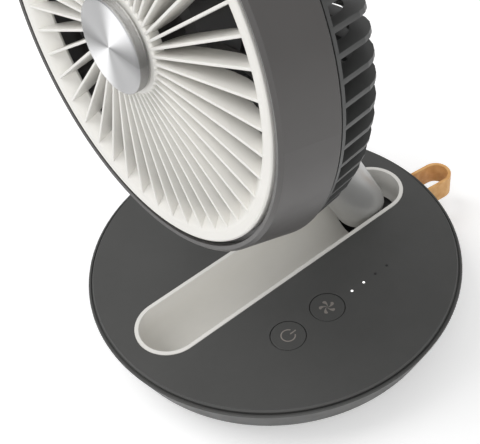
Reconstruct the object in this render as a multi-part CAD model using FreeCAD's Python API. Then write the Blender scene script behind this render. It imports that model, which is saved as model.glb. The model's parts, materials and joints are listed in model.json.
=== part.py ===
import FreeCAD, Part
import math
import os

V = FreeCAD.Vector
os.makedirs("parts", exist_ok=True)

# All lengths are in millimetres and all angles in degrees.
# X points to the button side, Y to the hinge end of the trough, Z up.
# The origin is on the underside, below the centre of the round base.

# Base
base_radius = 99.8
base_height = 33.0
shell_wall = 2.2
shell_floor = 2.0
ledge_width = 5.0
ledge_thickness = 1.2
shell_waist_radius = 92.8
shell_waist_drop = 20.0
foot_radius = 84.0
foot_round = 3.0
rim_drop = 1.8
rim_width = 1.4
rim_groove = 0.8
cover_thickness = 2.6
cover_edge_slope = 0.7
pad_radius = 76.0
pad_thickness = 1.6
pad_stand = 0.6

# Trough in the base
trough_centre_y = 1.9
trough_half_length = 88.9
trough_half_width = 18.2
trough_rim = 2.1
trough_rim_rise = 0.3
trough_wall = 1.6
trough_depth = 27.6
trough_flange = 2.6
trough_flange_thickness = 1.6
pocket_start_y = 58.3
pocket_end_y = 90.5
pocket_ceiling_drop = 18.0

# Arm and its two pivots
arm_length = 136.5
arm_lean = 64.4
arm_radius = 14.4
knuckle_offset = 9.6
knuckle_half_width = 9.0
knuckle_recess_radius = 10.9
fold_pivot_y = 67.35
fold_pivot_drop = 12.0
fold_pin_radius = 2.5
tilt_pin_radius = 3.0
clevis_slot = 11.8
clevis_slot_reach = 13.5
tilt_pin_recess = 2.6
tilt_washer_radius = 8.0
pin_head_rim = 1.8
pin_head_height = 1.8
wire_channel_width = 6.0
wire_channel_depth = 5.0
arm_cover_width = 12.0
arm_cover_thickness = 2.6
arm_cover_end_gap = 24.0
arm_cap_radius = 2.0
arm_cap_sink = 0.3
arm_cap_height = 0.9
arm_cap_slot = 0.4

# Head, measured along its own axis back from the face plane
head_tilt_up = 3.5
pivot_below_axis = 58.06
pivot_behind_rear = 21.72
face_radius = 89.3
band_front_radius = 94.2
band_rear_radius = 98.8
band_depth = 24.2
band_wall = 2.4
bezel_inner_radius = 91.2
face_gap_depth = 4.2
face_ledge = 6.5
face_ledge_thickness = 2.2
ring_cone_radius = 84.4
ring_cone_depth = 6.8
ring_dip = 0.4
ring_inner_radius = 77.4
vane_count = 45
vane_thickness = 1.3
vane_tip_radius = 84.0
vane_offset = 4.8
vane_first_angle = 6.3
vane_depth = 10.6
collar_radius = 22.6
collar_front = 1.0
collar_depth = 4.4
hub_radius = 20.2
hub_front = 6.9
hub_back = 2.0
hub_bevel = 0.5
hub_stem_radius = 15.0

# Rear guard
head_depth = 50.9
guard_seam = 0.5
guard_corner_radius = 15.0
guard_side_taper = 1.6
guard_ring_depth = 1.8
guard_rib_count = 66
guard_rib_thickness = 2.2
guard_rib_depth = 6.5
guard_swirl = 12.0
guard_plate_radius = 34.0
guard_mid_ring_radius = 62.0
guard_mid_ring_width = 2.2
spine_width = 26.0
spine_thickness = 4.0
spine_top = 22.0
spine_bottom = 80.0
tongue_thickness = 9.8
tongue_radius = 9.5

# Motor and impeller
impeller_blades = 7
impeller_tip_radius = 82.0
impeller_hub_radius = 27.0
impeller_front = 14.5
impeller_depth = 23.0
impeller_wall = 1.8
blade_chord_root = 24.0
blade_chord_tip = 36.0
blade_angle_root = 48.0
blade_angle_tip = 27.0
blade_thickness = 1.8
shaft_radius = 1.6
can_radius = 25.0
can_wall = 1.2
magnet_thickness = 2.0
magnet_gap = 0.6
stator_poles = 9
bearing_radius = 4.0
bearing_width = 4.0
motor_plate_thickness = 3.0

# Controls
button_radius = 8.95
button_gap = 0.35
button_travel = 1.0
button_x = 45.8
power_button_y = -28.7
speed_button_y = -2.3
button_thickness = 2.2
button_collar = 1.4
lamp_x = 46.6
lamp_first_y = 14.2
lamp_pitch = 8.3
lamp_radius = 0.95
board_thickness = 1.6
board_drop = 9.0
board_width = 32.0
board_length = 104.0
switch_size = 6.0

# Battery
cell_radius = 9.2
cell_length = 65.0
cell_gap = 0.6
cell_row_x = -33.5

# Leather strap
strap_width = 12.8
strap_thickness = 1.8
strap_loop_radius = 7.5
strap_reach = 24.9
strap_angle = 83.3
strap_inside = 6.0
strap_pin_radius = 0.7
strap_centre_drop = 11.0

# Charging socket
socket_angle = 150.0
socket_width = 9.0
socket_height = 3.4
socket_depth = 7.4

# Fasteners and clearances
running_clearance = 0.05
hinge_washer_thickness = 0.5
hinge_washer_radius = 4.4
hinge_nut_radius = 4.4
hinge_nut_length = 2.4
hinge_ear_radius = 4.5
bracket_wall = 2.4
bracket_floor = 1.6
bracket_foot = 9.0
bracket_half_length = 8.0
bracket_screw_bite = 1.5
fine_gap = 0.15
pocket_gap = 0.5
screw_radius = 1.5
screw_head_radius = 2.8
screw_head_height = 1.8
small_screw_radius = 1.2
tiny_screw_radius = 1.0

# Places worked out from the values above
top = base_height
fold_pivot = V(0, fold_pivot_y, top - fold_pivot_drop)
lean = math.radians(arm_lean)
tilt_pivot = fold_pivot + V(0, -math.cos(lean), math.sin(lean)) * arm_length
tilt = math.radians(head_tilt_up)
head_axis = V(0, -math.cos(tilt), math.sin(tilt))
head_up = V(0, math.sin(tilt), math.cos(tilt))
pivot_depth = head_depth + pivot_behind_rear
head_centre = tilt_pivot + head_axis * pivot_depth + head_up * pivot_below_axis
floor_top = pad_thickness + shell_floor


def save(name, shape):
    shape.exportStep("parts/%s.step" % name)
    print(name, len(shape.Solids), round(shape.Volume, 1), shape.isValid())


def group(shapes):
    return Part.makeCompound([s for shape in shapes for s in shape.Solids])


def cylinder(radius, height, at=V(0, 0, 0), direction=V(0, 0, 1)):
    return Part.makeCylinder(radius, height, at, direction)


def tube(outer, inner, height, at=V(0, 0, 0), direction=V(0, 0, 1)):
    return cylinder(outer, height, at, direction).cut(cylinder(inner, height, at, direction))


def block(x0, x1, y0, y1, z0, z1):
    return Part.makeBox(x1 - x0, y1 - y0, z1 - z0, V(x0, y0, z0))


def turned(points):
    """Solid of revolution about Z from (radius, height) corners."""
    corners = [V(r, 0, z) for r, z in points]
    face = Part.Face(Part.makePolygon(corners + [corners[0]]))
    return face.revolve(V(0, 0, 0), V(0, 0, 1), 360)


def side_profile(points, x0, x1):
    """Flat shape drawn in the YZ plane and given a width along X."""
    corners = [V(x0, y, z) for y, z in points]
    face = Part.Face(Part.makePolygon(corners + [corners[0]]))
    return face.extrude(V(x1 - x0, 0, 0))


def stadium(half_length, half_width, z0, z1):
    """Upright block with two straight sides and two round ends, centred on the trough."""
    run = half_length - half_width
    y0 = trough_centre_y - run
    y1 = trough_centre_y + run
    height = z1 - z0
    body = block(-half_width, half_width, y0, y1, z0, z1)
    body = body.fuse(cylinder(half_width, height, V(0, y0, z0)))
    return body.fuse(cylinder(half_width, height, V(0, y1, z0))).removeSplitter()


def channel(half_length, half_width, depth, rise):
    """Stadium channel with a round bottom, from the given depth up past the base top."""
    run = half_length - half_width
    y0 = trough_centre_y - run
    y1 = trough_centre_y + run
    z = top - depth + half_width
    bottom = cylinder(half_width, y1 - y0, V(0, y0, z), V(0, 1, 0))
    bottom = bottom.fuse(Part.makeSphere(half_width, V(0, y0, z)))
    bottom = bottom.fuse(Part.makeSphere(half_width, V(0, y1, z)))
    below = block(-half_width, half_width, y0 - half_width, y1 + half_width, z - half_width, z)
    bottom = bottom.common(below)
    return stadium(half_length, half_width, z, top + rise).fuse(bottom).removeSplitter()


def around(shape, count):
    """The shape repeated evenly about Z."""
    copies = []
    for i in range(count):
        copy = shape.copy()
        copy.rotate(V(0, 0, 0), V(0, 0, 1), 360.0 * i / count)
        copies.append(copy)
    return copies


def turn_z(shape, angle):
    copy = shape.copy()
    copy.rotate(V(0, 0, 0), V(0, 0, 1), angle)
    return copy


def screw(at, direction, length, radius=screw_radius, head=screw_head_radius):
    """Pan head screw: at is the seat under the head, direction points into the work."""
    shank = cylinder(radius, length, at, direction)
    cap = cylinder(head, screw_head_height, at - direction * screw_head_height, direction)
    slot = cylinder(head * 0.45, screw_head_height * 0.6, at - direction * screw_head_height, direction)
    return shank.fuse(cap).cut(slot).removeSplitter()


def in_head(shape):
    """Moves a shape from the head's own frame, Z forward and Y up, to its place."""
    copy = shape.copy()
    copy.rotate(V(0, 0, 0), V(1, 0, 0), 90 - head_tilt_up)
    copy.translate(head_centre)
    return copy


def in_arm(shape):
    """Moves a shape from the arm's own frame, Z from fold to tilt pivot, to its place."""
    copy = shape.copy()
    copy.rotate(V(0, 0, 0), V(1, 0, 0), 90 - arm_lean)
    copy.translate(fold_pivot)
    return copy


def shell_radius(drop):
    """Outer radius of the base's side wall at a drop below the top."""
    share = (drop - rim_drop) / (shell_waist_drop - rim_drop)
    return base_radius + (shell_waist_radius - base_radius) * share


cover_radius = base_radius - rim_width - rim_groove
boss_radius = 3.6
boss_circle = 80.0
boss_angles = (20, 62, 118, 160, 200, 250, 290, 340)
boss_depth = 6.0
boss_hole_depth = 5.5
cover_under = top - cover_thickness
ledge_low = cover_under - ledge_thickness
base_screw_seat = pad_stand + screw_head_height + 0.8
lug_angles = (40.5, 130.5, 220.5, 310.5)
lug_radius = 3.2
lug_height = 3.4
motor_screw_circle = 21.5
motor_screw_angles = (30, 150, 270)
motor_screw_bite = 2.2


# Base pieces

def make_shell():
    waist = top - shell_waist_drop
    outer = turned([
        (0, pad_stand), (foot_radius - foot_round, pad_stand), (foot_radius, pad_stand + foot_round * 0.5),
        (foot_radius + foot_round, pad_stand + foot_round * 1.2), (shell_waist_radius, waist),
        (base_radius, top - rim_drop - 0.6), (base_radius - 0.5, top - rim_drop), (0, top - rim_drop)])
    body = outer.cut(shell_hollow())
    body = body.cut(cylinder(pad_radius + fine_gap, pad_thickness))
    for angle in boss_angles:
        post = cylinder(boss_radius, ledge_low - floor_top - boss_depth, V(boss_circle, 0, floor_top))
        body = body.fuse(turn_z(post, angle))
    for angle in boss_angles:
        hole = cylinder(screw_radius, top, V(boss_circle, 0, 0))
        sink = cylinder(screw_head_radius + fine_gap, base_screw_seat, V(boss_circle, 0, 0))
        body = body.cut(turn_z(hole.fuse(sink), angle))
    for x, y in bracket_screw_places():
        body = body.cut(cylinder(screw_radius, bracket_screw_bite, V(x, y, floor_top - bracket_screw_bite)))
    body = body.cut(turn_z(strap_slots(), strap_angle))
    return body.cut(turn_z(socket_opening(fine_gap), socket_angle)).removeSplitter()


def shell_hollow():
    """The room inside the base shell, from its floor up through the cover's seat."""
    waist = top - shell_waist_drop
    ledge_radius = shell_radius(top - ledge_low) - ledge_width
    inner_rim = base_radius - rim_width
    return turned([
        (0, floor_top), (foot_radius - shell_wall, floor_top), (shell_waist_radius - shell_wall, waist),
        (ledge_radius, ledge_low), (ledge_radius, cover_under), (inner_rim, cover_under),
        (inner_rim, top), (0, top)])


def base_screw_set():
    seat = base_screw_seat
    one = screw(V(boss_circle, 0, seat), V(0, 0, 1), ledge_low - boss_depth + boss_hole_depth - seat)
    return group([turn_z(one, angle) for angle in boss_angles])


def make_cover():
    edge = cover_radius
    disc = turned([
        (0, cover_under), (edge, cover_under), (edge, top - 1.2),
        (edge - cover_edge_slope, top), (0, top)])
    foot = ledge_low - boss_depth
    for angle in boss_angles:
        post = cylinder(boss_radius, cover_under - foot, V(boss_circle, 0, foot))
        hole = cylinder(screw_radius, boss_hole_depth, V(boss_circle, 0, foot))
        disc = disc.fuse(turn_z(post.cut(hole), angle))
    opening = stadium(trough_half_length + fine_gap, trough_half_width + fine_gap, cover_under - 1, top + 1)
    disc = disc.cut(opening)
    for y in (power_button_y, speed_button_y):
        disc = disc.cut(cylinder(button_radius + button_gap, cover_thickness, V(button_x, y, cover_under)))
    for i in range(4):
        y = lamp_first_y + i * lamp_pitch
        disc = disc.cut(cylinder(lamp_radius, cover_thickness, V(lamp_x, y, cover_under)))
    for x, y in board_posts():
        post = cylinder(3.0, board_drop - cover_thickness, V(x, y, top - board_drop))
        hole = cylinder(1.0, board_drop - cover_thickness, V(x, y, top - board_drop))
        disc = disc.fuse(post.cut(hole))
    return disc.removeSplitter()


def make_liner():
    rim_top = top + trough_rim_rise
    inner_half = trough_half_width - trough_rim
    inner_length = trough_half_length - trough_rim
    outer_half = inner_half + trough_wall
    outer_length = inner_length + trough_wall
    body = channel(outer_length, outer_half, trough_depth + trough_wall, 0)
    body = body.fuse(stadium(trough_half_length, trough_half_width, cover_under, rim_top))
    flange_low = cover_under - trough_flange_thickness
    body = body.fuse(stadium(
        trough_half_length + trough_flange, trough_half_width + trough_flange, flange_low, cover_under))
    body = body.cut(channel(inner_length, inner_half, trough_depth, 2))
    pocket = block(
        -trough_half_width - 1, trough_half_width + 1, pocket_start_y, pocket_end_y,
        0, top - pocket_ceiling_drop)
    return body.cut(pocket).removeSplitter()


def make_pad():
    return cylinder(pad_radius, pad_thickness)


def ear_inner():
    return knuckle_half_width + hinge_washer_thickness


def make_hinge_bracket():
    """Flat foot with two upright ears that stand up through the gap in the trough floor."""
    inner = ear_inner()
    outer = inner + bracket_wall
    low = floor_top
    y0 = fold_pivot_y - bracket_half_length
    y1 = fold_pivot_y + bracket_half_length
    body = block(-outer - bracket_foot, outer + bracket_foot, y0, y1, low, low + bracket_floor)
    for x in (-outer, inner):
        ear = block(x, x + bracket_wall, fold_pivot_y - hinge_ear_radius, fold_pivot_y + hinge_ear_radius,
                    low, fold_pivot.z)
        round_top = cylinder(hinge_ear_radius, bracket_wall, V(x, fold_pivot.y, fold_pivot.z), V(1, 0, 0))
        body = body.multiFuse([ear, round_top])
    for x, y in bracket_screw_places():
        body = body.cut(cylinder(screw_radius, bracket_floor, V(x, y, low)))
    bore = cylinder(fold_pin_radius, 2 * outer + 2, V(-outer - 1, fold_pivot.y, fold_pivot.z), V(1, 0, 0))
    return body.cut(bore).removeSplitter()


def bracket_screw_places():
    x = ear_inner() + bracket_wall + bracket_foot - screw_head_radius - 1.0
    y = bracket_half_length - screw_head_radius - 0.8
    return [(sx * x, fold_pivot_y + sy * y) for sx in (-1, 1) for sy in (-1, 1)]


def bracket_screw_set():
    seat = floor_top + bracket_floor
    long = bracket_floor + bracket_screw_bite
    return group([screw(V(x, y, seat), V(0, 0, -1), long) for x, y in bracket_screw_places()])


def make_fold_pin():
    outer = ear_inner() + bracket_wall
    long = 2 * outer + hinge_nut_length + fine_gap
    shank = cylinder(fold_pin_radius, long, V(-outer, fold_pivot.y, fold_pivot.z), V(1, 0, 0))
    at = V(-outer - pin_head_height, fold_pivot.y, fold_pivot.z)
    head = cylinder(fold_pin_radius + pin_head_rim, pin_head_height, at, V(1, 0, 0))
    return shank.fuse(head).removeSplitter()


def make_fold_nut():
    outer = ear_inner() + bracket_wall
    nut = hexagon(hinge_nut_radius, hinge_nut_length, V(outer, fold_pivot.y, fold_pivot.z))
    bore = cylinder(fold_pin_radius, hinge_nut_length, V(outer, fold_pivot.y, fold_pivot.z), V(1, 0, 0))
    return nut.cut(bore)


def hexagon(radius, length, at):
    corners = []
    for i in range(6):
        a = math.radians(60 * i)
        corners.append(at + V(0, radius * math.cos(a), radius * math.sin(a)))
    return Part.Face(Part.makePolygon(corners + [corners[0]])).extrude(V(length, 0, 0))


def fold_washer_set():
    half = knuckle_half_width
    gap = running_clearance
    rings = []
    for side in (-1, 1):
        x = half + gap if side > 0 else -half - hinge_washer_thickness
        rings.append(tube(
            hinge_washer_radius, fold_pin_radius, hinge_washer_thickness - gap,
            V(x, fold_pivot.y, fold_pivot.z), V(1, 0, 0)))
    return group(rings)


def cell_places():
    pitch = 2 * cell_radius + cell_gap
    return [cell_row_x - i * pitch for i in range(2)]


def make_cells():
    z = floor_top + 1.4 + cell_radius
    cells = []
    for x in cell_places():
        can = cylinder(cell_radius, cell_length, V(x, -cell_length / 2, z), V(0, 1, 0))
        nub = cylinder(3.0, 1.2, V(x, cell_length / 2, z), V(0, 1, 0))
        cells.append(can.fuse(nub))
    return group(cells)


def make_cell_holder():
    z = floor_top + 1.4 + cell_radius
    xs = cell_places()
    x0 = min(xs) - cell_radius - 1.6
    x1 = max(xs) + cell_radius + 1.6
    half = cell_length / 2 + 3.2
    tray = block(x0, x1, -half, half, floor_top, floor_top + cell_radius)
    for x in xs:
        tray = tray.cut(cylinder(cell_radius, cell_length + 2.4, V(x, -cell_length / 2, z), V(0, 1, 0)))
    return tray


def board_posts():
    x0 = lamp_x - board_width / 2 + 4
    x1 = lamp_x + board_width / 2 - 4
    y = board_length / 2 - 6
    return [(x0, -y), (x1, -y), (x0, y), (x1, y)]


def make_board():
    x0 = lamp_x - board_width / 2
    z1 = top - board_drop
    plate = block(x0, x0 + board_width, -board_length / 2, board_length / 2, z1 - board_thickness, z1)
    for x, y in board_posts():
        plate = plate.cut(cylinder(1.0, board_thickness, V(x, y, z1 - board_thickness)))
    return plate


def board_screw_set():
    seat = top - board_drop - board_thickness
    return group([screw(V(x, y, seat), V(0, 0, 1), 5.5, 1.0, 2.0) for x, y in board_posts()])


def make_button(y):
    z0 = top - button_thickness
    cap = cylinder(button_radius, button_thickness, V(button_x, y, z0))
    cap = cap.makeFillet(0.4, [e for e in cap.Edges if e.BoundBox.ZMin > top - 0.01])
    collar_low = cover_under - 1.0 - running_clearance
    collar = cylinder(button_radius + button_gap + button_collar, 1.0, V(button_x, y, collar_low))
    neck = cylinder(button_radius, z0 - collar_low, V(button_x, y, collar_low))
    stem = cylinder(2.0, switch_gap_height(), V(button_x, y, collar_low - switch_gap_height()))
    return cap.fuse(collar).fuse(neck).fuse(stem).removeSplitter()


def switch_gap_height():
    """Length of a button's stem, from its collar to just above the switch."""
    return board_drop - cover_thickness - 1.05 - 2.6 - button_travel - 0.1


def switch_set():
    z = top - board_drop
    bodies = []
    for y in (power_button_y, speed_button_y):
        half = switch_size / 2
        body = block(button_x - half, button_x + half, y - half, y + half, z, z + 2.0)
        bodies.append(body.fuse(cylinder(1.4, 0.6, V(button_x, y, z + 2.0))))
    return group(bodies)


def lamp_set(indices):
    lamps = []
    z = top - board_drop
    for i in indices:
        y = lamp_first_y + i * lamp_pitch
        lens = cylinder(lamp_radius, board_drop - 0.1, V(lamp_x, y, z))
        foot = cylinder(1.8, board_drop - cover_thickness - 0.4, V(lamp_x, y, z))
        lamps.append(lens.fuse(foot).removeSplitter())
    return group(lamps)


def strap_outline(radius, start, straight_end):
    """Closed outline of a hairpin: two legs along X joined by a half circle."""
    p = [V(start, -radius, 0), V(straight_end, -radius, 0), V(straight_end + radius, 0, 0),
         V(straight_end, radius, 0), V(start, radius, 0)]
    edges = [Part.makeLine(p[0], p[1]), Part.Arc(p[1], p[2], p[3]).toShape(),
             Part.makeLine(p[3], p[4]), Part.makeLine(p[4], p[0])]
    return Part.Face(Part.Wire(edges))


def make_strap_straight():
    wall = shell_radius(strap_centre_drop)
    start = wall - strap_inside
    straight_end = wall + strap_reach - strap_loop_radius - strap_thickness / 2
    z0 = top - strap_centre_drop - strap_width / 2
    outer = strap_outline(strap_loop_radius + strap_thickness / 2, start, straight_end)
    inner = strap_outline(strap_loop_radius - strap_thickness / 2, start - 1, straight_end)
    band = outer.cut(inner).extrude(V(0, 0, strap_width))
    band.translate(V(0, 0, z0))
    return band.cut(strap_pin_place(1))


def strap_slots():
    wall = shell_radius(strap_centre_drop)
    z0 = top - strap_centre_drop - strap_width / 2
    slots = []
    for side in (-1, 1):
        y = side * strap_loop_radius
        half = strap_thickness / 2
        slots.append(block(wall - 8, wall + 4, y - half, y + half, z0, z0 + strap_width))
    return slots[0].fuse(slots[1])


def make_strap_anchor():
    """Plate between the strap's two ends, bearing on the inside of the shell's wall."""
    wall = shell_radius(strap_centre_drop)
    z0 = top - strap_centre_drop - strap_width / 2
    inner = strap_loop_radius - strap_thickness / 2
    body = block(wall - strap_inside, wall, -inner, inner, z0, z0 + strap_width)
    return turn_z(body.common(shell_hollow()).cut(strap_pin_place(1)), strap_angle)


def strap_pin_place(gap=0.0):
    """Cross pin through both ends of the strap and the plate between them."""
    x = shell_radius(strap_centre_drop) - strap_inside + strap_pin_radius + 0.4
    half = strap_loop_radius + strap_thickness / 2 + gap
    return cylinder(strap_pin_radius, 2 * half, V(x, -half, top - strap_centre_drop), V(0, 1, 0))


def socket_wall():
    return shell_radius(top - socket_middle())


def socket_middle():
    return top * 0.42


def socket_opening(gap):
    z = socket_middle()
    x = socket_wall()
    half = socket_width / 2 + gap
    tall = socket_height / 2 + gap
    return block(x - 12, x + 6, -half, half, z - tall, z + tall)


def make_socket():
    x1 = socket_wall() - 1.2
    z = socket_middle()
    half = socket_width / 2
    tall = socket_height / 2
    can = block(x1 - socket_depth, x1, -half, half, z - tall, z + tall)
    hollow = block(x1 - socket_depth + 0.6, x1, -half + 0.4, half - 0.4, z - tall + 0.4, z + tall - 0.4)
    tongue = block(x1 - socket_depth + 0.6, x1 - 1.2, -half + 1.6, half - 1.6, z - 0.35, z + 0.35)
    return turn_z(can.cut(hollow).fuse(tongue), socket_angle)


def make_socket_board():
    x1 = socket_wall() - 1.2
    z = socket_middle() - socket_height / 2
    plate = block(x1 - socket_depth - 8, x1 - 5.8, -9, 9, z - board_thickness, z)
    back = x1 - socket_depth
    under = z - board_thickness
    posts = [block(back - 8, back - 4, y - 2, y + 2, floor_top, under) for y in (-7, 7)]
    return turn_z(plate.fuse(posts[0]).fuse(posts[1]), socket_angle)


# Arm pieces

def bar(length):
    """Round bar along Z with ball ends. The lower ball sits a little above the fold pivot."""
    body = cylinder(arm_radius, length - knuckle_offset, V(0, 0, knuckle_offset))
    for z in (knuckle_offset, length):
        body = body.fuse(Part.makeSphere(arm_radius, V(0, 0, z)))
    return body.removeSplitter()


def arm_cover_space(gap):
    half = arm_cover_width / 2 + gap
    face = arm_radius
    return block(-half, half, face - arm_cover_thickness - gap, face + 1, arm_cover_end_gap - gap,
                 arm_length - arm_cover_end_gap + gap)


def make_arm_beam():
    body = bar(arm_length)
    slot = clevis_slot / 2
    body = body.cut(block(
        -slot, slot, -arm_radius, arm_radius, arm_length - clevis_slot_reach, arm_length + 2 * arm_radius))
    body = body.cut(cylinder(
        fold_pin_radius + running_clearance, 2 * arm_radius, V(-arm_radius, 0, 0), V(1, 0, 0)))
    body = body.cut(cylinder(
        tilt_pin_radius + running_clearance, 2 * arm_radius, V(-arm_radius, 0, arm_length), V(1, 0, 0)))
    for side in (-1, 1):
        at = V(side * knuckle_half_width, 0, 0)
        body = body.cut(cylinder(knuckle_recess_radius, arm_radius, at, V(side, 0, 0)))
        x = side * (arm_radius - tilt_pin_recess)
        sink = tilt_pin_radius + pin_head_rim + pocket_gap
        body = body.cut(cylinder(sink, tilt_pin_recess + 1, V(x, 0, arm_length), V(side, 0, 0)))
    body = body.cut(arm_cover_space(0))
    half = wire_channel_width / 2
    deep = arm_radius - arm_cover_thickness - wire_channel_depth
    body = body.cut(block(
        -half, half, deep, arm_radius, arm_cover_end_gap + 10, arm_length - arm_cover_end_gap - 10))
    for z in arm_screw_places():
        hole = cylinder(tiny_screw_radius, 9, V(0, arm_radius - arm_cover_thickness, z), V(0, -1, 0))
        body = body.cut(hole)
    return in_arm(body)


def arm_screw_places():
    return (arm_cover_end_gap + 5, arm_length - arm_cover_end_gap - 5)


def make_arm_cover():
    """Strip that closes the wire channel, its outer face part of the arm's round."""
    half = arm_cover_width / 2 - fine_gap
    face = arm_radius
    body = block(-half, half, face - arm_cover_thickness, face, arm_cover_end_gap + fine_gap,
                 arm_length - arm_cover_end_gap - fine_gap)
    body = body.common(bar(arm_length))
    for z in arm_screw_places():
        body = body.cut(cylinder(tiny_screw_radius, arm_cover_thickness + 1, V(0, face, z), V(0, -1, 0)))
        body = body.cut(cylinder(arm_cap_radius, arm_cap_sink + arm_cap_height, V(0, face, z), V(0, -1, 0)))
    return in_arm(body)


def arm_screw_set():
    """Small slotted caps, sunk a little below the crown of the cover."""
    face = arm_radius - arm_cap_sink
    screws = []
    for z in arm_screw_places():
        cap = cylinder(arm_cap_radius, arm_cap_height, V(0, face, z), V(0, -1, 0))
        shank = cylinder(tiny_screw_radius, arm_cover_thickness + 5.0, V(0, face - arm_cap_slot, z), V(0, -1, 0))
        slot = block(-arm_cap_radius, arm_cap_radius, face - arm_cap_slot, face, z - 0.25, z + 0.25)
        screws.append(cap.fuse(shank).cut(slot))
    return in_arm(group(screws))


def arm_wire_set():
    deep = arm_radius - arm_cover_thickness - wire_channel_depth
    z0 = arm_cover_end_gap + 10
    run = arm_length - 2 * z0
    wires = [cylinder(0.8, run, V(x, deep + 0.8, z0), V(0, 0, 1)) for x in (-1.8, 0, 1.8)]
    return in_arm(group(wires))


# Tilt pin pieces

def make_tilt_pin():
    half = arm_radius - tilt_pin_recess + running_clearance
    at = tilt_pivot - V(half, 0, 0)
    seat = at - V(pin_head_height, 0, 0)
    shank = cylinder(tilt_pin_radius, 2 * half + pin_head_height, at, V(1, 0, 0))
    head = cylinder(tilt_pin_radius + pin_head_rim, pin_head_height, seat, V(1, 0, 0))
    return shank.fuse(head).removeSplitter()


def make_tilt_nut():
    half = arm_radius - tilt_pin_recess + running_clearance
    at = tilt_pivot + V(half, 0, 0)
    nut = hexagon(tilt_pin_radius + pin_head_rim, pin_head_height, at)
    return nut.cut(cylinder(tilt_pin_radius, pin_head_height, at, V(1, 0, 0)))


def tilt_washer_set():
    gap = running_clearance
    inner = tongue_thickness / 2 + gap
    outer = clevis_slot / 2 - gap
    at_right = tilt_pivot + V(inner, 0, 0)
    at_left = tilt_pivot - V(outer, 0, 0)
    rings = [tube(tilt_washer_radius, tilt_pin_radius, outer - inner, at, V(1, 0, 0)) for at in (at_left, at_right)]
    return group(rings)


# Head pieces, drawn with Z forward from the face plane and Y up

def make_band():
    lip = 1.4
    outer = [(bezel_inner_radius, -0.4), (band_front_radius - lip, 0), (band_front_radius, -lip),
             (band_rear_radius, -band_depth + 0.8), (band_rear_radius - 0.6, -band_depth)]
    rear_inner = band_rear_radius - band_wall - 0.8
    ledge_back = -face_gap_depth - face_ledge_thickness
    inner = [(rear_inner, -band_depth), (bezel_inner_radius + 0.6, ledge_back - 1.5),
             (face_radius - face_ledge, ledge_back), (face_radius - face_ledge, -face_gap_depth),
             (bezel_inner_radius, -face_gap_depth)]
    body = turned(outer + inner).multiFuse(band_posts())
    for angle in lug_angles:
        hole = cylinder(small_screw_radius, 8.0, V(lug_circle(), 0, -band_depth - guard_seam))
        body = body.cut(turn_z(hole, angle))
    return in_head(body.removeSplitter())


def lug_circle():
    return band_rear_radius - 0.6 - guard_rib_depth - 1.6


def make_front_grille():
    collar = turned([
        (0, collar_front), (collar_radius - 0.8, collar_front), (collar_radius, collar_front - 0.8),
        (collar_radius, -collar_depth), (collar_radius - 2.0, -collar_depth), (collar_radius - 2.0, -1.6),
        (0, -1.6)])
    blades = around(turn_z(one_vane(), vane_first_angle), vane_count)
    return in_head(turned(ring_outline()).multiFuse([collar] + blades).removeSplitter())


def ring_outline():
    """Flat rim, rounded shoulder and steep cone down to the inner lip, then the back of the same wall."""
    edge = face_radius
    bend = ring_cone_radius
    lip = ring_inner_radius
    deep = ring_cone_depth
    back = face_gap_depth
    return [
        (edge, -0.6), (edge - 0.8, 0), (bend + 0.4, -ring_dip), (bend - 0.9, -ring_dip - 0.4),
        (bend - 2.2, -ring_dip - 1.5), (lip, -deep), (lip + 0.2, -deep - 1.0), (lip + 1.0, -deep - 1.3),
        (bend - 1.8, -back), (edge, -back)]


def along_vane(radius):
    """Distance along a vane at which it reaches a radius, as it passes the centre at an offset."""
    return math.sqrt(radius ** 2 - vane_offset ** 2)


def one_vane():
    """Upright plate that passes beside the centre, from the collar out onto the cone of the ring.

    Its back edge is a smooth curve, deepest in the middle of the span.
    """
    start = along_vane(collar_radius - 1.0)
    lip = along_vane(ring_inner_radius)
    bend = along_vane(ring_cone_radius)
    tip = along_vane(vane_tip_radius)
    low = -ring_cone_depth - 0.4
    back = [V(lip + 0.7, 0, low), V(lip - 5.0, 0, 2.2 - vane_depth), V(lip - 12.0, 0, 0.8 - vane_depth),
            V((start + lip) / 2, 0, -vane_depth), V(start + 11.0, 0, -vane_depth),
            V(start + 5.0, 0, 1.6 - vane_depth), V(start, 0, 0.2 - collar_depth)]
    curve = Part.BSplineCurve()
    curve.interpolate(back)
    corners = [back[-1], V(start, 0, collar_front), V(tip, 0, -ring_dip - 0.2), V(tip, 0, -ring_dip - 0.9),
               V(bend - 2.0, 0, -ring_dip - 2.5), back[0]]
    edges = [curve.toShape()] + [Part.makeLine(a, b) for a, b in zip(corners, corners[1:])]
    plate = Part.Face(Part.Wire(edges)).extrude(V(0, vane_thickness, 0))
    plate.translate(V(0, -vane_offset - vane_thickness / 2, 0))
    return plate


def make_hub_cap():
    cap = turned([
        (0, hub_front), (hub_radius - hub_bevel, hub_front - 0.15), (hub_radius, hub_front - hub_bevel),
        (hub_radius, hub_back), (hub_stem_radius, hub_back), (hub_stem_radius, collar_front), (0, collar_front)])
    return in_head(cap)


def guard_outline(inset):
    """Side and rear outline of the rear guard as (radius, depth), moved inwards by inset."""
    front = -band_depth - guard_seam
    r_front = band_rear_radius - 0.6 - inset
    r_back = r_front - guard_side_taper
    rear = -head_depth + inset
    c = guard_corner_radius - inset * 0.6
    points = [(r_front, front)]
    for i in range(7):
        a = math.radians(90.0 * i / 6)
        points.append((r_back - c + c * math.cos(a), rear + c - c * math.sin(a)))
    return points


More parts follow.
